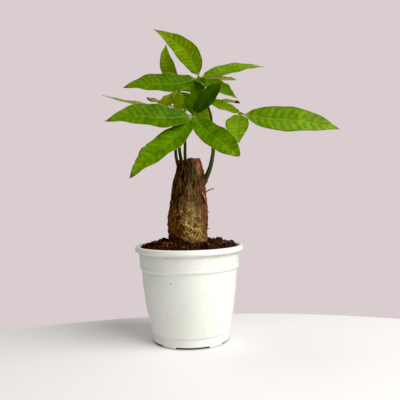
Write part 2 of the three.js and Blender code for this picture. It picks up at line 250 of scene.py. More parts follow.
def ball_points(rows, sides):
    """Points of a ball of radius 1, ring by ring from its top down."""
    tilt = np.linspace(0, np.pi, rows)[:, None]
    return polar(np.sin(tilt), ring_angles(sides), np.cos(tilt))


def lump(centre, radii, seed, rough, rows=24, sides=32, tone=(0, 0, 0)):
    """A rounded swelling: a ball stretched by three radii, with its surface pressed in and out by noise."""
    ball = ball_points(rows, sides)
    grow = 1 + rough * layered_noise(ball * 2.3 + seed, seed, 3)
    return shape(centre + ball * radii * grow[..., None], ring_faces(rows, sides), tone=tone)


def there_and_back(top, bottom):
    """Closed rings that run along the rows of one grid and back along those of another."""
    return np.concatenate([top, bottom[:, ::-1]], axis=1)


def sheet(top, bottom, place=(0, 0, 0), tone=(0, 0, 0)):
    """A thin sheet from the grids of its two faces, closed at each end by a row of quads."""
    rows, columns = len(top), 2 * top.shape[1]
    first = np.arange(top.shape[1] - 1)
    end = np.stack([first, first + 1, columns - 2 - first, columns - 1 - first], -1)
    faces = [ring_faces(rows, columns), end, end + (rows - 1) * columns]
    return shape(there_and_back(top, bottom), np.concatenate(faces), place, tone)


# Materials


class Looks:
    """One material, built from small steps that each add a node and hand back its output."""

    def __init__(self, name):
        self.material = bpy.data.materials.new(name)
        self.material.use_nodes = True
        self.tree = self.material.node_tree
        self.tree.nodes.clear()
        self.coordinates = self.node("TexCoord").outputs["Object"]

    def feed(self, socket, value):
        if isinstance(value, bpy.types.NodeSocket):
            self.tree.links.new(value, socket)
        elif socket.type == "RGBA":
            socket.default_value = (*value, 1)
        else:
            socket.default_value = value

    def node(self, kind, *first, **named):
        """A shader node with values or outputs in its first sockets and in the named ones."""
        node = self.tree.nodes.new("ShaderNode" + kind)
        for key, value in [*enumerate(first), *named.items()]:
            self.feed(node.inputs[key if isinstance(key, int) else key.replace("_", " ")], value)
        return node

    def math(self, operation, a, b=0):
        node = self.node("Math", a, b)
        node.operation = operation
        return node.outputs[0]

    def plus(self, a, b):
        return self.math("ADD", a, b)

    def minus(self, a, b):
        return self.math("SUBTRACT", a, b)

    def times(self, a, b):
        return self.math("MULTIPLY", a, b)

    def remap(self, value, low, high, start=0, end=1):
        node = self.node("MapRange", value, low, high, start, end)
        node.interpolation_type = "SMOOTHSTEP"
        return node.outputs[0]

    def mix(self, share, a, b, blend="MIX"):
        node = self.node("Mix", share)
        node.data_type = "RGBA"
        node.blend_type = blend
        self.feed(node.inputs[6], a)
        self.feed(node.inputs[7], b)
        return node.outputs[2]

    def painted(self, ground, *layers):
        """A ground with colours laid over it in turn. A layer is a colour and its share, and the share is remapped
        where a span follows it."""
        for colour, share, *span in layers:
            ground = self.mix(self.remap(share, *span) if span else share, ground, colour)
        return ground

    def stretched(self, scale):
        return self.node("Mapping", Vector=self.coordinates, Scale=scale).outputs[0]

    def noise(self, size_mm, detail, stretch=(1, 1, 1), roughness=0.55):
        """Noise whose blotches are about size_mm across, stretched along an axis by a number under 1."""
        return self.node("TexNoise", Vector=self.stretched(stretch), Scale=1000 / size_mm, Detail=detail,
                         Roughness=roughness).outputs[0]

    def cells(self, size_mm):
        """0 on the lines between cells of about size_mm, rising inside them."""
        node = self.node("TexVoronoi", Vector=self.coordinates, Scale=1000 / size_mm)
        node.feature = "DISTANCE_TO_EDGE"
        return node.outputs["Distance"]

    def split(self, vector):
        return list(self.node("SeparateXYZ", vector).outputs)

    def attribute(self, name):
        """The three numbers of a vector kept at each point of the mesh."""
        node = self.node("Attribute")
        node.attribute_name = name
        return self.split(node.outputs["Vector"])

    def distance(self, vector, place_mm):
        node = self.node("VectorMath", vector, [number * MM for number in place_mm])
        node.operation = "DISTANCE"
        return node.outputs["Value"]

    def bump(self, height, depth_mm, strength=1):
        return self.node("Bump", Height=height, Distance=depth_mm * MM, Strength=strength).outputs[0]

    def surface(self, colour, roughness, specular, **normal):
        return self.node("BsdfPrincipled", Base_Color=colour, Roughness=roughness, Specular_IOR_Level=specular,
                         **normal).outputs[0]

    def done(self, shader):
        self.node("OutputMaterial", shader)
        return self.material


VEIN_PAIRS = 13
VEIN_SWEEP = 0.6
VEIN_CURVE = 0.4
LIGHT_THROUGH_LEAF = 0.32


def leaf_looks():
    """Leaf green: painted shade along the side veins and a painted highlight between them where the blade bulges, a
    thin pale rib and a dry drip tip.
    place holds (along the rib, out from the rib, side), where side is 0 above, 1 below and 2 on a stalk.
    tone holds (painted glow of light through the leaflet, painted shade on the leaflet, dry share of the tip). On a
    stalk the first two are redness and freshness."""
    look = Looks("money_tree_leaf")
    along, out, side = look.attribute("place")
    painted_glow_and_redness, deep, dry = look.attribute("tone")
    curve = look.plus(look.times(out, VEIN_SWEEP), look.times(look.math("POWER", out, 2), VEIN_CURVE))
    phase = look.minus(look.times(along, VEIN_PAIRS), curve)
    swing = look.math("ABSOLUTE", look.math("SINE", look.times(phase, np.pi)))
    fine = look.noise(2.4, 3)
    green = look.painted(
        (0.079, 0.206, 0.003),
        ((0.142, 0.298, 0.005), look.noise(15, 4), 0.35, 0.68),
        # painted glow: a leaflet lit through from behind is made yellower
        ((0.3, 0.44, 0.02), painted_glow_and_redness),
        # painted light: the outer part of each leaflet is lit to the same yellow-green as the painted glow
        ((0.3, 0.44, 0.024), along, 0.45, 0.95, 0, 0.32),  # lighter towards the tip
        ((0.03, 0.092, 0.003), along, 0.08, 0.45, 0.22, 0),  # darker at the base
        # painted shade: a leaflet that lies in the shade of others is made darker
        ((0.02, 0.066, 0.003), deep),
    )
    # painted shade in the valleys by the side veins, and a painted highlight on the bulges between them
    painted_shade_valley = look.mix(1, green, (0.68, 0.79, 0.62), "MULTIPLY")
    painted_highlight_crest = look.mix(1, green, (1.2, 1.12, 1.06), "MULTIPLY")
    between = look.times(look.remap(out, 0.04, 0.3), look.remap(out, 0.7, 0.96, 1, 0))
    stripes = look.times(look.minus(swing, 0.62), between)
    uneven = look.times(look.minus(look.noise(5, 4), 0.5), 3)
    mottling = look.times(look.remap(look.noise(2.1, 3), 0.57, 0.7, 0, 0.5), look.minus(1, deep))
    vein = look.times(look.remap(swing, 0, 0.11, 0.26, 0), look.remap(out, 0.55, 0.95, 1, 0))
    rib = look.times(look.remap(out, 0.012, 0.045, 1, 0), look.remap(along, 0.05, 0.9, 0.8, 0.15))
    below = look.times(look.remap(side, 0.2, 0.8), look.plus(0.4, look.times(painted_glow_and_redness, 0.5)))
    # painted highlight: a thin bright edge where light glows through the thin margin
    painted_edge_glow = look.remap(out, 0.965, 0.985, 0, 0.75)
    tipwards = look.plus(look.plus(along, dry), look.times(fine, 0.05))
    stalk = look.painted(
        (0.018, 0.032, 0.005),
        ((0.052, 0.08, 0.01), look.noise(1.5, 3), 0.35, 0.65),
        ((0.105, 0.034, 0.014), painted_glow_and_redness),  # its reddish stretch
        ((0.11, 0.17, 0.012), deep),  # the fresh cushion under the leaflets
    )
    colour = look.painted(
        painted_shade_valley,
        (painted_highlight_crest, look.plus(stripes, uneven), -0.65, 0.65),
        ((0.28, 0.4, 0.02), mottling),
        ((0.24, 0.36, 0.03), vein),
        ((0.3, 0.42, 0.06), look.times(rib, look.remap(deep, 0.5, 1, 1, 0.35))),
        ((0.33, 0.43, 0.07), along, 0.03, 0.1, 0.75, 0),  # stalklet
        (look.mix(painted_glow_and_redness, (0.15, 0.24, 0.025), (0.6, 0.6, 0.13)), below),
        ((0.07, 0.09, 0.006), out, 0.86, 0.94, 0, 0.6),  # dark line inside the edge
        ((0.42, 0.48, 0.08), look.times(painted_edge_glow, look.remap(deep, 0.5, 1, 1, 0.3))),
        ((0.14, 0.075, 0.024), tipwards, 0.99, 1.05),  # dry tip
        (stalk, side, 1.2, 1.8),
    )
    meshwork = look.remap(look.cells(1.1), 0, 0.12, 0, 0.5)
    relief = look.minus(look.plus(meshwork, look.times(fine, 0.7)), vein)
    face = look.surface(colour, look.remap(fine, 0.3, 0.8, 0.5, 0.6), 0.1, Normal=look.bump(relief, 0.05, 0.35))
    through = look.node("BsdfTranslucent", Color=look.mix(1, colour, (2.1, 1.8, 0.8), "MULTIPLY")).outputs[0]
    return look.done(look.node("MixShader", LIGHT_THROUGH_LEAF, face, through).outputs[0])


def shoot_looks():
    """Smooth green stem: dark low and lighter high, with fine lengthwise streaks and small corky spots."""
    look = Looks("shoot_green")
    along, _, _ = look.attribute("place")
    streaks = look.noise(1.6, 3, (1, 1, 0.12))
    corky = look.remap(look.noise(1.3, 2), 0.66, 0.74, 0, 0.6)
    colour = look.painted(
        (0.033, 0.044, 0.01),
        ((0.06, 0.088, 0.015), along, 0.1, 0.9),
        ((0.0165, 0.022, 0.005), streaks, 0.35, 0.75, 0, 0.45),
        ((0.1, 0.08, 0.034), corky),
    )
    return look.done(look.surface(colour, 0.5, 0.22, Normal=look.bump(look.plus(streaks, corky), 0.15, 0.5)))


def bark_looks():
    """Bark: place holds (height of the relief, olive knobbly patch, fresh red-brown), and tone holds (cut wood,
    flake, moss). The height of the relief paints highlights on the tops of ridges and knobs and shade in the
    fissures."""
    look = Looks("trunk_bark")
    relief, olive, russet = look.attribute("place")
    cut, flake, moss = look.attribute("tone")
    streaks = look.noise(2.6, 5, (1, 1, 0.28), 0.65)
    grain = look.noise(1.1, 4, (1, 1, 0.8), 0.7)
    blotches = look.noise(9, 3, (1, 1, 0.5))
    specks = look.noise(1.5, 3, (1, 1, 0.7), 0.65)
    knobbly = look.painted(
        (0.12, 0.066, 0.022),
        # painted highlight on the tops of the knobs
        ((0.36, 0.218, 0.056), relief, 0.18, 0.7),
        ((0.8, 0.6, 0.25), specks, 0.55, 0.63, 0, 0.85),  # gold flecks
        ((0.04, 0.018, 0.009), specks, 0.37, 0.45, 0.85, 0),  # pits
    )
    sawn = look.painted((0.04, 0.019, 0.012), ((0.16, 0.078, 0.036), look.noise(1.2, 4), 0.35, 0.7))
    peeled = look.painted((0.2, 0.07, 0.026), ((0.52, 0.24, 0.098), streaks, 0.4, 0.58))
    colour = look.painted(
        (0.014, 0.008, 0.008),
        ((0.115, 0.05, 0.03), streaks, 0.4, 0.66),
        ((0.11, 0.036, 0.022), blotches, 0.45, 0.65, 0, 0.6),
        # painted highlight on the tops of the ridges, and painted shade in the fissures, both from the height of the
        # relief
        ((0.17, 0.098, 0.05), relief, 0.55, 1, 0, 0.5),  # tops of the ridges
        ((0.009, 0.005, 0.005), relief, 0.12, 0.42, 0.85, 0),  # fissures
        ((0.175, 0.055, 0.024), look.times(russet, look.remap(streaks, 0.36, 0.64))),
        (knobbly, look.times(olive, look.remap(blotches, 0.25, 0.5, 0.55, 1))),
        ((0.07, 0.095, 0.016), look.times(moss, look.remap(streaks, 0.35, 0.65))),
        (sawn, cut),
        (peeled, flake),
    )
    rough = look.remap(grain, 0.3, 0.8, 0.78, 0.95)
    return look.done(look.surface(colour, rough, 0.12, Normal=look.bump(look.plus(grain, streaks), 0.7, 0.9)))


def soil_looks():
    """Damp potting mix: near black with red-brown bits. tone's first number is each crumb's own."""
    look = Looks("potting_soil")
    own, _, _ = look.attribute("tone")
    clumps = look.noise(4, 5)
    grain = look.noise(0.9, 4, roughness=0.7)
    colour = look.painted(
        (0.006, 0.002, 0.003),
        ((0.044, 0.014, 0.013), clumps, 0.38, 0.62),
        ((0.155, 0.046, 0.033), own, 0.3, 1),
        ((0.37, 0.205, 0.098), own, 1, 1.5),  # pale bits and fibres
        ((0.11, 0.046, 0.036), grain, 0.58, 0.74, 0, 0.55),
    )
    return look.done(look.surface(colour, 0.92, 0.12, Normal=look.bump(look.plus(grain, clumps), 0.6, 0.9)))


# Grey marks on the pot: place, radius of the full mark, radius where it ends, strength
POT_MARKS = [
    ((-20.6, -51, 74.8), 0.5, 1.7, 0.55), ((-6.6, -53.8, 57.6), 0.3, 1.2, 0.3),
    ((-4.4, -54, 56.2), 0.3, 1.1, 0.3), ((10.7, -54.2, 74.4), 0.5, 3.2, 0.07),
    ((-13.6, -56.5, 100.5), 0.6, 3.6, 0.1), ((10.1, -49, 36.4), 0.4, 1.6, 0.2),
    ((52, 16, 63), 0.5, 2, 0.35), ((-30, 45.5, 70), 0.5, 2.4, 0.3),
    ((25, 44.5, 40), 0.4, 1.5, 0.35),
]


def pot_looks():
    """White moulded plastic, very slightly yellow, with cloudy smudges, runs of dried water, a few grey marks and
    a grey band just below the rim that is partly grime and partly painted shade under the rim. The underside and
    the lowest edge are painted dark: painted shade under the pot and a painted contact shadow along the foot's lower
    edge."""
    look = Looks("pot_plastic")
    marks = look.noise(8, 5, (1, 1, 0.6))
    height = look.split(look.coordinates)[2]
    spots = [
        ((0.3, 0.3, 0.26), look.distance(look.coordinates, place), full * MM, end * MM, strength, 0)
        for place, full, end, strength in POT_MARKS
    ]
    # a grey band under the rim: partly grime, partly painted shade beneath the rim
    grime_and_shade_below_rim = look.times(look.remap(height, 0.0995, 0.104), look.remap(height, 0.1047, 0.1052, 1, 0))
    from_axis = look.distance(look.stretched((1, 1, 0)), (0, 0, 0))
    inside_foot = look.remap(from_axis, 0.044, 0.0444, 1, 0)
    # painted shade: the underside inside the foot is dark, as no light reaches under the pot
    painted_underside_shade = look.times(inside_foot, look.remap(height, 0.0027, 0.0031, 0.95, 0))
    colour = look.painted(
        (0.79, 0.8, 0.735),
        ((0.85, 0.855, 0.795), look.noise(38, 4, (1, 1, 0.5)), 0.35, 0.7),
        ((0.6, 0.61, 0.54), marks, 0.56, 0.76, 0, 0.22),
        ((0.58, 0.59, 0.52), look.noise(5, 4, (1, 1, 0.16)), 0.6, 0.74, 0, 0.14),  # runs
        *spots,
        ((0.42, 0.4, 0.34), look.noise(2.1, 2), 0.75, 0.79, 0, 0.3),  # specks
        # grime and painted shade under the rim
        ((0.36, 0.37, 0.3), look.times(grime_and_shade_below_rim, look.remap(marks, 0.3, 0.65, 0.12, 0.34))),
        # painted shade on the underside, and a painted contact shadow along the lowest millimetre of the foot
        ((0.04, 0.034, 0.028), look.math("MAXIMUM", painted_underside_shade, look.remap(height, 0.0005, 0.001, 0.85, 0))),
    )
    normal = look.bump(look.plus(look.noise(16, 3), look.times(marks, 0.3)), 0.25, 0.35)
    return look.done(look.surface(colour, look.remap(marks, 0.3, 0.75, 0.3, 0.46), 0.4, Normal=normal))


# Leaves: the same hubs, stalks and leaflets as the solids, in finer surfaces. The stalk's last point is the hub.
# A leaflet's row holds mid, tip, width, widest, face, wave, and what else sets it apart.

# A leaflet's first two tone numbers paint light on it: a yellow glow where light comes through it, and a darker green
# where it lies in shade.
LEAVES = dict(
    leaf_top=dict(
        stalk=[(30.3, 0, 233.2), (30, 0, 247), (28.2, 0, 263), (22.6, -4, 282), (15, -12, 304)],
        radii=[1.5, 1.3, 1.15, 1.1, 1.3],
        red_at=271,
        leaflets=[
            ((-1.8, 12, 343.7), (-38.2, 30, 373.3), 25.3, 0.42, (-1, -3, 1), 0.8,
             dict(sway=0.4, quilted=0.13, painted_glow_and_redness=0.6)),
            ((58, 6, 317.7), (95.5, 20, 323.2), 24.3, 0.4, (0, -3.2, 4), 0.5, dict(sway=1.3, painted_glow_and_redness=0.25)),
            ((42, 28, 310), (65.6, 60, 316.6), 21, 0.45, (0, 0.6, 12), 0.4, dict(painted_glow_and_redness=1)),
            ((33.2, -34, 288.1), (54.6, -55, 272.4), 33.5, 0.4, (1, -2, 2), 0.7, dict(deep=0.38)),
            ((13, -34, 286), (7.5, -42, 258), 19, 0.4, (-1, -2, 2), 0.6, dict(deep=0.24)),
            ((-29, -22, 295.6), (-70, -30, 290.7), 29.4, 0.44, (0, -3, 2), 0.9,
             dict(sway=-3, quilted=0.4, painted_glow_and_redness=0.09, deep=0.28, dry=0.06)),
        ],
    ),
    leaf_front=dict(
        stalk=[(-2.6, -10, 205), (-2.6, -15, 222), (-1, -30, 240), (7, -58, 255)],
        radii=[1.75, 1.7, 1.4, 1.3],
        leaflets=[
            ((22.3, -58, 273), (37, -52, 290), 20.5, 0.48, (-1, -3, 1), 0.6, dict(deep=0.93)),
            ((-38, -75, 251.4), (-82, -85, 246), 32.4, 0.44, (0, -3, 2), 0.8,
             dict(sway=-3.5, quilted=0.6, deep=0.22, dry=0.06)),
            ((-24, -84.4, 219.5), (-57, -100, 188), 29, 0.47, (-0.5, -2, 1.3), 1.2,
             dict(sway=-3.2, painted_glow_and_redness=0.08, dry=0.05,
                  notches=[(0.62, 1, 1.7, 0.02), (0.75, 1, 1, 0.02), (0.84, 1, 0.9, 0.016)])),
            ((26, -88, 229.5), (50, -112, 207.2), 25, 0.56, (0, -4, 1), 0.8, dict(sway=1.2)),
        ],
    ),
    leaf_right=dict(
        stalk=[(33.5, 0, 231.4), (36.8, 0, 233.5), (45.4, 0, 242.4), (55, 0, 253.4), (64, 0, 264)],
        radii=[1.45, 1.4, 1.3, 1.2, 1.3],
        leaflets=[
            ((120, -8, 254.5), (179, -5, 243.5), 31.8, 0.46, (0, -3, 1), 0.8,
             dict(sway=1.9, quilted=0.8, painted_glow_and_redness=0.3)),
            ((54.8, -40, 243), (54.2, -66, 224), 25.6, 0.45, (0, -2, 3), 0.7,
             dict(painted_glow_and_redness=0.38, dry=0.04, notches=[(0.72, -1, 1.2, 0.03)])),
            ((43, 24, 277), (20, 50, 294.5), 19, 0.52, (0, -2, 3), 0.6, dict(painted_glow_and_redness=0.55)),
        ],
    ),
    leaf_back_left=dict(
        stalk=[(-6.2, 0, 204), (-9.3, 0, 224), (-10, 6, 255), (-9, 20, 296)],
        radii=[1.85, 1.85, 1.4, 1.3],
        leaflets=[
            ((-22.8, 46, 333), (-24.6, 70, 366.5), 19.6, 0.45, (-2, -3, 1), 0.5, dict(sway=1.2, painted_glow_and_redness=0.65)),
            ((-20.2, 8, 281.4), (-34, -2, 268), 25, 0.52, (-1, -2, 3), 0.5, dict(painted_glow_and_redness=1)),
            ((-10, 5, 279), (-9.4, -12, 259), 16, 0.4, (1, -2, 2), 0.5, dict(painted_glow_and_redness=1)),
            ((9.7, 13, 275), (27.6, 6, 252.8), 27, 0.6, (1, -3, 2), 0.5, dict(deep=0.1)),
            ((8.5, 40, 304), (28, 65, 313), 22, 0.4, (0, -3, 2), 0.5, dict(painted_glow_and_redness=0.1)),
        ],
    ),
    leaf_back=dict(
        stalk=[(-10.6, -5, 201), (-13.6, -4, 220), (-12, 12, 250), (-3, 45, 275)],
        radii=[1.75, 1.75, 1.4, 1.3],
        leaflets=[
            ((-58, 60, 285.5), (-110, 70, 302), 20, 0.4, (0, 1, 8), 0.6, dict(painted_glow_and_redness=1, dry=0.08)),
            ((-30.5, 88, 291.8), (-48.6, 118, 300.4), 28, 0.7, (0, 4, 10), 0.5, dict(painted_glow_and_redness=0.9, dry=0.1)),
            ((12, 90, 296), (24, 128, 306), 24, 0.4, (0, 0, 1), 0.6, dict(painted_glow_and_redness=0.3)),
            ((37, 62, 287), (71, 75, 289.2), 21, 0.55, (0, 0.6, 8), 0.6, dict(painted_glow_and_redness=0.8, dry=0.12)),
            ((-19, 25, 266), (-32, 8, 257), 18, 0.4, (0, -1, 3), 0.6, dict(painted_glow_and_redness=0.1)),
        ],
    ),
)

BASE_FULLNESS = 0.85
TIP_HOLLOW = 1.04
FOLD = 0.2
STALKLET_HALF = 0.9
TIP_HALF = 0.3
LEAFLET_ROWS = 120
LEAFLET_COLUMNS = 31
QUILT_MM = 0.26
EDGE_WAVES = 3.5
SKIN, STALKLET_SWELL = 0.17, 0.4
RIB_REACH, RIB_GROOVE, RIB_DEPTH = 0.6, 0.12, 0.55


def leaf_half_width(t, width, widest):
    """Half the width along the rib: a power of the way from the base times a power of the way from the tip,
    which widens fast from the stalklet and narrows hollow to the drip tip."""
    tip_power = TIP_HOLLOW * BASE_FULLNESS * (1 - widest) / widest
    outline = (t / widest) ** BASE_FULLNESS * ((1 - t) / (1 - widest)) ** tip_power
    least = STALKLET_HALF + (TIP_HALF - STALKLET_HALF) * t
    return np.maximum(least, width / 2 * outline * rise(0, 0.12, t))


def leaflet(hub, number, mid, tip, width, widest, face, wave, sway=0, notches=(), quilted=QUILT_MM,
            painted_glow_and_redness=0, deep=0, dry=0.02):
    """One leaflet as a closed blade. Its rib is a curve with one bend through mid, with a slight S of sway mm in it.
    Across it the blade folds up from the rib, ripples at its edge, and is quilted: it bulges between side veins that
    sweep forward. A notch (at, side, depth, length) takes a small bite out of one edge."""
    start, end, middle = np.array([hub, tip, mid], float)
    bend = 2 * middle - 0.5 * (start + end)
    t = np.linspace(0, 1, LEAFLET_ROWS)
    rib = (1 - t[:, None]) ** 2 * start + 2 * (t * (1 - t))[:, None] * bend + t[:, None] ** 2 * end
    along = unit(np.gradient(rib, axis=0))
    side = unit(np.cross(along, unit(face)))
    up = unit(np.cross(side, along))
    rib = rib + side * (sway * np.sin(TURN * t))[:, None]
    half = leaf_half_width(t, width, widest)
    blade = np.minimum(1, half / (width / 4))
    half = half * (1 + 0.022 * blade * layered_noise(vectors(t * 14, number, 0), 5, 2))
    u = np.sin(np.linspace(-np.pi / 2, np.pi / 2, LEAFLET_COLUMNS))
    T, U = np.meshgrid(t, u, indexing="ij")
    reach = np.repeat(half[:, None], LEAFLET_COLUMNS, axis=1)
    for at, which, depth, length in notches:
        reach = reach - depth * spot((T, at, length)) * (np.sign(U) == which)
    out = np.abs(U)
    swing = np.abs(np.sin(np.pi * (VEIN_PAIRS * T - VEIN_SWEEP * out - VEIN_CURVE * out**2)))
    quilt = quilted * (swing**0.7 - 0.55) * np.minimum(1, out * 5) * (1 - out**4)
    ripple = wave * U**2 * np.sin(TURN * EDGE_WAVES * T + np.where(U > 0, 0, 2)) * rise(0, 0.3, out)
    fold = FOLD * half[:, None] * (np.sqrt(out**2 + 0.0025) - 0.05)
    lift = (fold + quilt + ripple) * blade[:, None]
    stalklet = 1 - rise(0.03, 0.13, T)
    near_rib = spot((U * half[:, None], 0, RIB_REACH))
    thick = STALKLET_SWELL * stalklet * np.sqrt(np.clip(1 - U**2, 0, 1))
    above = SKIN - RIB_GROOVE * near_rib * (1 - stalklet) + thick
    below = SKIN + RIB_DEPTH * near_rib * (1 - 0.7 * T) + thick
    flat = rib[:, None] + side[:, None] * (U * reach)[..., None]
    top, bottom = (flat + up[:, None] * (lift + away)[..., None] for away in (above, -below))
    place = there_and_back(*(vectors(T, out, underside) for underside in (0, 1)))
    # The tone paints light on the leaflet: a yellow glow where light comes through, a darker green in shade, and then
    # the dry tip.
    return sheet(top, bottom, place, (painted_glow_and_redness, deep, dry))


def as_stalk(stem, red_at, fresh=0):
    """Marks a shape as stalk for the leaf material, with a reddish stretch about the height red_at."""
    redness = 0.08 + 0.9 * spot((stem["points"][:, 2], red_at, 8))
    return marked(stem, place=(0.5, 0.3, 2), tone=vectors(redness, fresh, 0))


def leaf_parts(stalk, radii, leaflets, red_at=0):
    """A hand-shaped leaf: its stalk swells a little at both ends, and the leaflets meet on a small cushion."""
    swollen = [radii[0] * 1.12, *radii[1:-1], radii[-1] * 1.25]
    stem = as_stalk(tube(stalk, drawn(swollen, 15), 90, 20, rough=0.06, seed=3), red_at)
    cushion = as_stalk(lump(stalk[-1], (2.1, 2.1, 1.8), 11, 0.12), red_at, fresh=0.7)
    return [stem, cushion, *(leaflet(stalk[-1], number, *row, **own) for number, (*row, own) in enumerate(leaflets))]


leaf_green = leaf_looks()
for leaf_name, leaf in LEAVES.items():
    make_piece(leaf_name, leaf_parts(**leaf), leaf_green)

# Green shoot

SHOOT_PATH = [(20, -1, 186.5), (23.8, -1, 195), (27.4, 0, 205), (30.2, 0, 219), (30.6, 0, 230)]
SHOOT_RADII = [2.9, 2.8, 2.5, 2.2, 2.5]
shoot = tube(SHOOT_PATH, SHOOT_RADII, 110, 32, rough=0.1, seed=7)
fork = marked(lump(SHOOT_PATH[-1], (2.9, 2.8, 2.8), 21, 0.1), place=(1, 0, 0))
make_piece("shoot_right", [shoot, fork], shoot_looks())

# Trunk

# Height, left edge and right edge
TRUNK_OUTLINE = np.array([
    (70, -24.1, 22.1), (112, -24.1, 22.1), (116, -24.1, 22), (123, -24, 21.9), (131, -24.4, 22.4),
    (140, -24.9, 22.8), (147, -24.4, 22.7), (154, -22.9, 22.5), (160, -21.8, 22.2), (167, -20.9, 21.7),
    (174, -20.2, 21), (180, -19.2, 20.5), (186, -17.9, 20.2), (191, -16.2, 19.9), (196, -14.6, 19.4),
    (201, -13.7, 18), (205, -13.3, 17), (212, -12.6, 15),
])
CUT_LOW, CUT_HIGH, TOP_EDGE, SHOULDER = 210.4, 212.4, 212, 205
TRUNK_SIDES, BARK_RADIUS = 320, 21.6


def outline_at(z):
    """Left and right edge of the trunk at a height, averaged over a short stretch so that no kink shows."""
    heights, *edges = TRUNK_OUTLINE.T
    return [sum(np.interp(z + step, heights, edge) for step in (-2.5, 0, 2.5)) / 3 for edge in edges]


def bark_swell(angle, z):
    """The large relief that the solid has too: twisted upright ridges, and knobs that grow lower down."""
    ridges = 0.55 * np.sin(11 * angle + 1.1 * np.sin(z / 13)) + 0.4 * np.sin(17 * angle - z / 19)
    knobs = 0.55 * np.sin(7 * angle + z * 0.31) * np.sin(z * 0.43 + 2 * angle)
    low = rise(0, 40, 175 - z)
    return ridges * (1 - 0.5 * low) + knobs * (0.5 + low) - 0.6


def olive_patch(angle, z):
    """From 0 in dark bark to 1 in the pale knobbly area: a ragged tongue low on the front right, fainter and
    narrower upwards, with some of it on the low left too."""
    turn = np.degrees((angle + np.pi) % TURN - np.pi)
    around = polar(5, angle, z / 7)
    wander = 11 * layered_noise(around, 41, 3)
    left_edge = rise(-15, 7, turn + 103 - 0.05 * (z - 115) + wander)
    narrowing = 32 * rise(117, 130, z) + 20 * rise(126, 144, z) + 0.2 * np.clip(z - 150, 0, 50)
    right_edge = 1 - rise(-22, 14, turn + wander + narrowing)
    height = 1 - 0.78 * rise(142, 166, z + 0.5 * wander) - 0.22 * rise(172, 192, z + 0.5 * wander)
    low_left = 0.3 * rise(-176, -150, turn) * (1 - rise(-128, -110, turn))
    low_left = low_left * rise(0, 16, 160 - z) * rise(116, 134, z)
    speckled = 0.8 * spot((turn, -119, 15), (z, 147, 9))
    scattered = rise(-0.3, 0.5, layered_noise(around * 1.8, 47, 3))
    off_the_soil = 0.25 + 0.75 * rise(116, 122, z + 0.16 * wander)
    return np.clip(left_edge * right_edge * height + (low_left + speckled) * scattered, 0, 1) * off_the_soil


def trunk_shape():
    """Rings up the side, over the worn shoulder and in across the sawn top to its middle."""
    side = np.r_[np.linspace(70.3, 108, 8), np.linspace(109, SHOULDER, 222)]
    rim = np.linspace(0, 1, 16)[1:]
    inward = np.linspace(1, 0, 34)[1:]
    below = np.r_[side, SHOULDER + 0 * rim, SHOULDER + 0 * inward][:, None]
    climb = np.r_[0 * side, rim, 1 + 0 * inward][:, None]
    inset = np.r_[1 + 0 * side, 1 + 0 * rim, inward][:, None]
    A = np.broadcast_to(ring_angles(TRUNK_SIDES), (len(below), TRUNK_SIDES))
    left, right = outline_at(below + (TOP_EDGE - SHOULDER) * climb)
    radius = ((right - left) / 2 + bark_swell(A, below) - 0.6 * climb**3) * inset
    x, y = (left + right) / 2 + radius * np.cos(A), radius * np.sin(A)
    worn = 0.5 * np.sin(0.9 * x + 1) * np.sin(0.7 * y) - 1.2 * (1 - inset)
    crown = CUT_LOW + (CUT_HIGH - CUT_LOW) * rise(-3, 2, x) + worn
    z = below + (crown - SHOULDER) * climb
    points = vectors(x, y, z)
    on_top = np.zeros(A.shape)
    on_top[len(side) + len(rim) - 2:] = 1
    olive = olive_patch(A, z) * (1 - on_top)
    fissures = 1 - np.abs(layered_noise(points / (2.9, 2.9, 12), 61))
    warp = points + 1.3 * np.stack([layered_noise(points / 4.5 + shift, 71 + shift, 2) for shift in (0, 5, 9)], -1)
    warts = soft_noise(warp / (2.1, 2.1, 2.6), 75)
    grit = soft_noise(warp / 1.15, 77)
    dry = 1.25 * (fissures**2 - 0.55) + 0.3 * layered_noise(points / 1.6, 91, 3)
    knobbly = 0.75 * warts + 0.5 * grit + 0.35 * layered_noise(points / 6, 79, 2)
    relief = (dry * (1 - olive) + knobbly * olive) * (1 - 0.55 * on_top)
    scar = 3 * np.exp(-(((y + 1) / 4.6) ** 2 + ((z - 187) / 4.4) ** 2) ** 1.3) * (np.cos(A) > 0)
    points = points + polar(1 - on_top, A, on_top) * (relief * (0.85 + 0.25 * olive) + scar)[..., None]
    x, y = points[..., 0], points[..., 1]
    degrees = np.degrees(A)
    right_side = rise(0.5, 0.88, np.cos(A)) * (1 - on_top)
    low_left = rise(0.45, 0.85, -np.cos(A)) * rise(0, 26, 152 - z)
    low_left = low_left * (0.25 + 0.75 * rise(119, 133, z))
    rusty = 0.9 * spot((degrees, 230, 24)) * rise(116, 130, z) * rise(166, 150, z)
    russet = np.clip(right_side + low_left * 0.8 + rusty + rise(0.7, 1.5, scar), 0, 1)
    damp = np.exp(-(((degrees - 222) / 38) ** 4)) * rise(138, 118, z)
    # height of the relief, which the bark material turns into painted highlights on the tops and painted shade in the
    # fissures
    height = np.clip(0.5 + 0.45 * relief - 0.34 * damp, 0, 1)
    top_right = 1.3 * spot((x - 0.2 * np.clip(206 - z, 0, 30), 10.8, 3.3)) * rise(190, 203, z)
    ragged = rise(-0.5, 0.5, layered_noise(points / (1.6, 1.6, 7), 53, 3))
    grey_left = 0.46 * spot((degrees, 194, 9), (z, 156, 9))
    left_face = rise(-2, -9, x) * rise(202, 182, z) * (1 - on_top)
    in_front = rise(2, -6, y)
    flaking = np.clip(top_right * in_front * ragged + grey_left + (0.09 + 0.26 * low_left) * left_face * ragged, 0, 1)
    moss = 0.6 * spot((z, 194, 9), (degrees, 296, 14))
    faces = ring_faces(len(points), TRUNK_SIDES)
    return shape(points, faces, vectors(height, olive, russet), vectors(on_top * 0.9, flaking, moss))


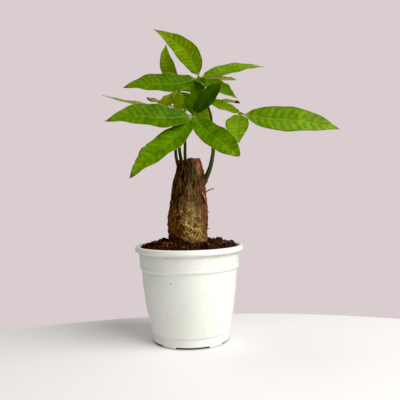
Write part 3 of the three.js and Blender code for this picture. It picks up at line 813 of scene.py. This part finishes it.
def bark_flake():
    """A peeled strip of bark: a thin curved sheet, fast at its top, slanting down and standing off lower down."""
    t, u = np.meshgrid(np.linspace(0, 1, 40), np.linspace(-1, 1, 12), indexing="ij")
    ragged = layered_noise(vectors(t * 6, u * 2, 0), 17, 3)
    half = 1.9 * np.sqrt(np.clip(1 - (2 * t - 1) ** 4, 0.03, 1)) * (1 + 0.35 * ragged) * (1 - 0.45 * t)
    angle = -0.76 + 0.34 * t + u * half / 21
    stand = 0.2 + 1.3 * t**2
    front = polar(BARK_RADIUS + stand, angle, 173 - 13 * t + 0.5 * ragged) + (0.6, 0, 0)
    return sheet(front, front - 0.5 * polar(1, angle, 0), tone=(0, 0.9, 0))


def splinter(turn, z, length, drop):
    """A short pointed splinter of bark: a thin tube that leaves the trunk at one angle and height."""
    way = polar(1, np.radians(turn), 0)
    root = (-0.5, 0, z) + way * (BARK_RADIUS - 0.2)
    steps = np.array([0, 0.45, 0.8, 1])[:, None]
    path = root + steps * way * length - steps**2 * (0, 0, drop)
    thorn = tube(path, [0.95, 0.75, 0.45, 0.12], 14, 10, across=(0, 0, 1), rough=0.18, seed=int(z))
    return marked(thorn, place=(0.5, 0, 0.8))


# Angle in degrees, height, length and drop of each splinter
SPLINTERS = [
    (-24, 163.5, 2.8, 0.8), (-8, 149.5, 3.8, -0.4), (-14, 144, 2.4, 0.6), (-4, 130, 3.6, 0.5),
    (-6, 119.5, 3.4, 0.4), (-178, 141.5, 2.2, -0.5), (-170, 128, 1.7, 0.5), (20, 168, 2.2, 0.6),
    (140, 150, 2.4, 0.8), (75, 132, 2, 0.4), (110, 178, 2.2, 0.7),
]
TWIG = [(18, -1, 171), (22.5, -1, 174), (27, -2, 176.2), (31.3, -2, 177.5)]
TWIG_FORK = [(26.4, -2, 175.9), (28.4, -2.2, 175.4), (30.2, -2.6, 174.6)]
twigs = [
    tube(TWIG, [1.3, 0.75, 0.5, 0.25], 50, 12, across=(0, 1, 0), rough=0.15, seed=9),
    tube(TWIG_FORK, [0.45, 0.35, 0.15], 20, 10, across=(0, 1, 0), rough=0.1, seed=10),
]
loose = [marked(twig, place=(0.3, 0, 0.2)) for twig in twigs] + [splinter(*row) for row in SPLINTERS]
make_piece("trunk", [trunk_shape(), bark_flake(), *loose], bark_looks())

# Soil

LEVEL_AT_RIM, LEVEL_AT_TRUNK = 109, 115.2
SOIL_OUTER, SOIL_INNER = 57.4, 24.9
SOIL_SIDES = 260
CRUMBS_FROM, CRUMBS_TO = 23.5, 56
CRUMBS, FIBRES, CLOD_LUMPS = 2600, 70, 5
# The soil's side from its middle below to the wall's top: radius and height
SOIL_WALL = [
    (0, 4.5), (42.5, 4.5), (42.1, 11.6), (44.5, 13.4), (46.9, 27), (52.4, 60.5), (54.2, 84.6), (56, 88),
    (57.1, 103.6),
]
# Middle, radius and height of each clod
CLODS = [
    (36, 8, 8, 2.3), (-31, 14, 6, 2.1), (46, -14, 5, 1.7), (-42, -16, 6, 2), (20, -40, 6, 1.6), (-12, 42, 8, 2.6),
    (51, 8, 5, 2),
]


def soil_level(x, y):
    """Height of the soil: it mounds towards the trunk, with waves of crumbs and a few clods as raised caps."""
    radius = np.hypot(x, y)
    t = np.clip((radius - SOIL_INNER) / (SOIL_OUTER - SOIL_INNER), 0, 1)
    slope = LEVEL_AT_TRUNK + (LEVEL_AT_RIM - LEVEL_AT_TRUNK) * t * t
    crumbs = (0.9 * np.sin(0.42 * x + 1.3) * np.sin(0.47 * y + 0.4) + 0.7 * np.sin(0.83 * x - 0.61 * y)
              + 0.5 * np.sin(1.3 * y + 0.9 * x + 2))
    clods = sum(h * np.clip(1 - ((x - cx) ** 2 + (y - cy) ** 2) / r**2, 0, None) for cx, cy, r, h in CLODS)
    return slope + np.minimum(1, (1 - t) * 5) * crumbs + clods


def soil_ground():
    """The soil's body: out below, up the wall, and in across the top with lumpy noise on it."""
    wall = np.array(SOIL_WALL)
    radius = np.r_[wall[:, 0], np.linspace(SOIL_OUTER, 0, 92)][:, None]
    angle = ring_angles(SOIL_SIDES)
    x, y = radius * np.cos(angle), radius * np.sin(angle)
    flat = vectors(x, y, soil_level(x, y))
    lumps = 0.9 * layered_noise(flat / (4.5, 4.5, 1e3), 33)
    pebbles = 0.9 * (pebble_heights(flat / (2.6, 2.6, 1e3), 35) - 0.6)
    level = flat[..., 2] - 0.5 + lumps + pebbles
    level[: len(wall)] = wall[:, 1:]
    return shape(vectors(x, y, level), ring_faces(len(radius), SOIL_SIDES), tone=(0.1, 0, 0))


def soil_crumbs(count, seed):
    """Loose crumbs: one small lumpy ball, turned, sized and pressed differently for each, laid on the soil."""
    rng = np.random.default_rng(seed)
    rows, sides = 5, 6
    radius = np.sqrt(rng.uniform(CRUMBS_FROM**2, CRUMBS_TO**2, count))
    around = rng.uniform(0, TURN, count)
    x, y = radius * np.cos(around), radius * np.sin(around)
    size = 0.35 + 1.25 * rng.random(count) ** 3
    stretch = rng.uniform(0.6, 1.3, (count, 3)) * size[:, None]
    z = soil_level(x, y) - 0.4 + 0.5 * size + rng.uniform(-0.3, 0.4, count)
    spin = rng.uniform(0, TURN, count)[:, None, None]
    press = 1 + 0.35 * rng.uniform(-1, 1, (count, rows, sides))
    press[:, [0, -1]] = 1
    long, wide, high = np.moveaxis(ball_points(rows, sides) * stretch[:, None, None] * press[..., None], -1, 0)
    lumps = vectors(long * np.cos(spin) - wide * np.sin(spin), long * np.sin(spin) + wide * np.cos(spin), high)
    points = lumps + vectors(x, y, z)[:, None, None]
    faces = ring_faces(rows, sides) + (np.arange(count) * rows * sides)[:, None, None]
    own = np.repeat(1.25 * rng.random(count) ** 2.8, rows * sides)
    return shape(points, faces.reshape(-1, 4), tone=vectors(own, 0, 0))


def soil_clods(seed):
    """Bigger rough lumps, heaped on each of the clods."""
    rng = np.random.default_rng(seed)
    heaped = []
    for number, (cx, cy, spread, _) in enumerate(CLODS):
        for _ in range(CLOD_LUMPS):
            place = (cx, cy) + rng.normal(0, 0.38 * spread, 2)
            x, y = place * min(1, 54 / np.hypot(*place))
            size = rng.uniform(0.9, 2) * min(1, spread / 6)
            middle = (x, y, soil_level(x, y) + 0.12 * (spread - 6) * size)
            radii = size * rng.uniform(0.7, 1.2, 3)
            heaped.append(lump(middle, radii, 200 + number, 0.45, 12, 14, (rng.uniform(0, 0.6), 0, 0)))
    return heaped


PALE_FIBRE = [(35.2, -26, 113.8), (36.8, -27, 115), (38.4, -27.5, 115.8), (39.8, -27, 116.8)]


def soil_fibres(count, seed):
    """Short coir fibres: thin bent tubes that lie on the soil."""
    rng = np.random.default_rng(seed)
    fibres = []
    for _ in range(count):
        radius, around, heading = rng.uniform(27, 55), rng.uniform(0, TURN), rng.uniform(0, TURN)
        x, y = radius * np.cos(around), radius * np.sin(around)
        length = rng.uniform(2.5, 6)
        steps = np.linspace(-0.5, 0.5, 4)
        xs = x + steps * length * np.cos(heading) + rng.normal(0, 0.4, 4)
        ys = y + steps * length * np.sin(heading) + rng.normal(0, 0.4, 4)
        inside = np.minimum(1, 55.5 / np.hypot(xs, ys))
        xs, ys = xs * inside, ys * inside
        zs = soil_level(xs, ys) + rng.uniform(0.5, 1.3, 4)
        fibres.append(tube(vectors(xs, ys, zs), [0.12, 0.16, 0.1], 8, 4, tone=(rng.uniform(0.7, 1.6), 0, 0)))
    fibres.append(tube(PALE_FIBRE, [0.25, 0.35, 0.2], 12, 6, tone=(1.6, 0, 0)))
    return fibres


soil_parts = [soil_ground(), soil_crumbs(CRUMBS, 101), *soil_clods(105), *soil_fibres(FIBRES, 103)]
make_piece("soil", soil_parts, soil_looks())

# Pot: profiles of radius and height

FOOT_GAP, FLOOR_TOP = 2.5, 4.2
SLOTS, SLOT_WIDTH, SLOT_TURN = 5, 49, 2.4
POT_FOOT = [(44.8, FOOT_GAP), (43.9, 10.8), (46.3, 12.6), (46.6, 15)]
POT_BODY = [(46.6, 15), (47.7, 22), (49.9, 32), (51.6, 41), (52.9, 51), (54.2, 60.5), (55.2, 71), (55.6, 79)]
POT_TOP = [
    (55.6, 79), (55.7, 81), (56, 81.7), (55.7, 82.4), (55.8, 83.8), (56.3, 84.6), (57.7, 85.6), (58.2, 86.5),
    (58.1, 87.5), (57.8, 88.6), (57.9, 90.5), (58.2, 94), (58.6, 99), (59, 104), (59.5, 104.5), (61.8, 104.7),
    (63.2, 105.6), (63.6, 106.9), (63.5, 107.9), (63, 108.4), (63.2, 109), (62.9, 110), (62.2, 111), (61, 111.5),
]
POT_INSIDE = [
    (61, 111.5), (58.8, 111.2), (57.7, 109), (57.4, 103.6), (56.3, 88), (54.5, 84.6), (52.7, 60.5),
    (47.2, 27), (44.8, 13.4), (42.4, 11.6), (42.8, FLOOR_TOP),
]
DRAIN_RADIUS, DRAIN_CIRCLE = 4, 31
POT_SIDES = 240


def eased_profile(points, step, passes):
    """A profile cut into short steps whose corners are eased: each point moves to the mean of itself and its
    neighbours, several times over. The two ends stay."""
    p = np.asarray(points, float)
    lengths = np.hypot(*np.diff(p, axis=0).T)
    run = np.r_[0, np.cumsum(lengths)]
    s = np.linspace(0, run[-1], int(run[-1] / step))
    fine = np.stack([np.interp(s, run, column) for column in p.T], -1)
    for _ in range(passes):
        fine[1:-1] = (fine[:-2] + 2 * fine[1:-1] + fine[2:]) / 4
    return fine


def turned(profile, sides):
    """A profile of radius and height, turned about the Z axis."""
    r, z = np.asarray(profile, float).T[..., None]
    return shape(polar(r, ring_angles(sides), z), ring_faces(len(r), sides))


def arc_pad(inner, outer, low, high, middle, width):
    """A foot pad: a block bent round the axis, from one angle to another."""
    angle = middle + np.linspace(-0.5, 0.5, 16) * width
    r, z = np.array([(inner, low), (outer - 0.7, low), (outer, low + 0.7), (outer, high), (inner, high)]).T
    faces = ring_faces(16, 5).tolist() + [list(range(5)), list(range(75, 80))]
    return shape(polar(r, angle[:, None], z), faces)


def stand(part):
    """An object from a shape, for carving."""
    mesh = bpy.data.meshes.new("carving")
    mesh.from_pydata(part["points"].tolist(), [], [list(face) for face in part["faces"]])
    clean(mesh, 1e-4)
    return add_object("carving", mesh)


def carved(base, tools):
    """A solid after other solids are joined to it or taken from it in turn."""
    block = stand(base)
    helpers = []
    for operation, tool in tools:
        helpers.append(stand(tool))
        step = block.modifiers.new(operation, "BOOLEAN")
        step.operation = operation
        step.solver = "EXACT"
        step.object = helpers[-1]
    done = bpy.data.meshes.new_from_object(block.evaluated_get(bpy.context.evaluated_depsgraph_get()))
    done.calc_loop_triangles()
    points = np.array([vertex.co[:] for vertex in done.vertices])
    faces = np.array([triangle.vertices[:] for triangle in done.loop_triangles])
    for used in (block, *helpers):
        bpy.data.objects.remove(used)
    return shape(points, faces)


def pot_floor():
    """The pot's floor: a disc with a round pad in its middle, a pad between each two slots, and drain holes."""
    disc = turned([(0, FOOT_GAP + 0.05), (43.6, FOOT_GAP + 0.05), (43.6, FLOOR_TOP), (0, FLOOR_TOP)], 120)
    centre = turned([(0, 0), (11.5, 0), (12, 0.4), (12, FOOT_GAP + 0.6), (0, FOOT_GAP + 0.6)], 64)
    drill = turned([(0, -1), (DRAIN_RADIUS, -1), (DRAIN_RADIUS, 2 * FLOOR_TOP), (0, 2 * FLOOR_TOP)], 40)
    steps = [("UNION", centre)]
    pad_width = np.radians(360 / SLOTS - SLOT_WIDTH)
    for i in range(SLOTS):
        angle = np.radians(SLOT_TURN - 90) + TURN * i / SLOTS
        steps.append(("UNION", arc_pad(40, 44.7, 0, FOOT_GAP + 0.8, angle + np.pi / SLOTS, pad_width)))
        steps.append(("DIFFERENCE", {**drill, "points": drill["points"] + polar(DRAIN_CIRCLE, angle, 0)}))
    return carved(disc, steps)


def pot_wall():
    """The wall from the foot over the rolled rim and down the inside, as one closed ring."""
    stretches = [(POT_FOOT, 0.5, 2), (POT_BODY, 1.4, 3), (POT_TOP, 0.35, 2), (POT_INSIDE, 0.9, 1)]
    first, *others = (eased_profile(*stretch) for stretch in stretches)
    underside = [(42.8, FOOT_GAP), (44.8, FOOT_GAP)]
    return turned(np.concatenate([first, *(other[1:] for other in others), underside]), POT_SIDES)


make_piece("pot", [pot_wall(), pot_floor()], pot_looks())

# Floor, light and background

FLOOR_RADIUS, FLOOR_MIDDLE, FLOOR_SIDES = 0.61, (0.03, -0.494, 0), 360
FLOOR_COLOUR = (0.87, 0.845, 0.842)
WALL_COLOUR = (0.7, 0.612, 0.63)
ROOM_LIGHT = 0.27
DEEPEST_BLACK = (0.004, 0.004, 0.008)


def lay_floor():
    """A wide round table top, whose far edge curves behind the object."""
    look = Looks("floor_pale")
    mesh = bpy.data.meshes.new("floor")
    edge = polar(FLOOR_RADIUS, ring_angles(FLOOR_SIDES), 0) + FLOOR_MIDDLE
    mesh.from_pydata(edge.tolist(), [], [list(range(FLOOR_SIDES))])
    mesh.materials.append(look.done(look.surface(FLOOR_COLOUR, 0.6, 0.15)))
    add_object("floor", mesh)


def area_light(name, place, aim, size, power, colour, sheen=True):
    data = bpy.data.lights.new(name, "AREA")
    data.shape = "DISK"
    data.size = size
    data.energy = power
    data.color = colour
    light = add_object(name, data)
    light.visible_glossy = sheen
    back = unit(np.subtract(place, aim))
    right = unit(np.cross((0, 0, 1), back))
    set_down(light, place, right, np.cross(back, right), back)


def set_world():
    """An even room light, and behind the object a plain pale lilac that only the camera sees."""
    world = bpy.data.worlds.new("studio")
    world.use_nodes = True
    nodes, links = world.node_tree.nodes, world.node_tree.links
    room, wall = nodes["Background"], nodes.new("ShaderNodeBackground")
    room.inputs["Color"].default_value = (ROOM_LIGHT, ROOM_LIGHT, ROOM_LIGHT, 1)
    wall.inputs["Color"].default_value = (*WALL_COLOUR, 1)
    both = nodes.new("ShaderNodeMixShader")
    seen = nodes.new("ShaderNodeLightPath").outputs["Is Camera Ray"]
    for number, output in enumerate((seen, room.outputs[0], wall.outputs[0])):
        links.new(output, both.inputs[number])
    links.new(both.outputs[0], nodes["World Output"].inputs["Surface"])
    bpy.context.scene.world = world


def set_contrast():
    """The photograph's blacks are deep and its greens hold little blue, so a little is taken off the darkest end."""
    view = bpy.context.scene.view_settings
    view.view_transform = "Standard"
    view.use_curve_mapping = True
    view.curve_mapping.black_level = DEEPEST_BLACK
    view.curve_mapping.update()


lay_floor()
set_world()
area_light("key_right", (0.82, -0.64, 0.96), (0, 0, 0.16), 1.3, 23.3, (1, 1, 0.97))
area_light("wall_glow", (-0.7, 0.5, 0.9), (0, 0, 0.12), 0.8, 2.8, (1, 0.95, 0.97), sheen=False)
set_contrast()
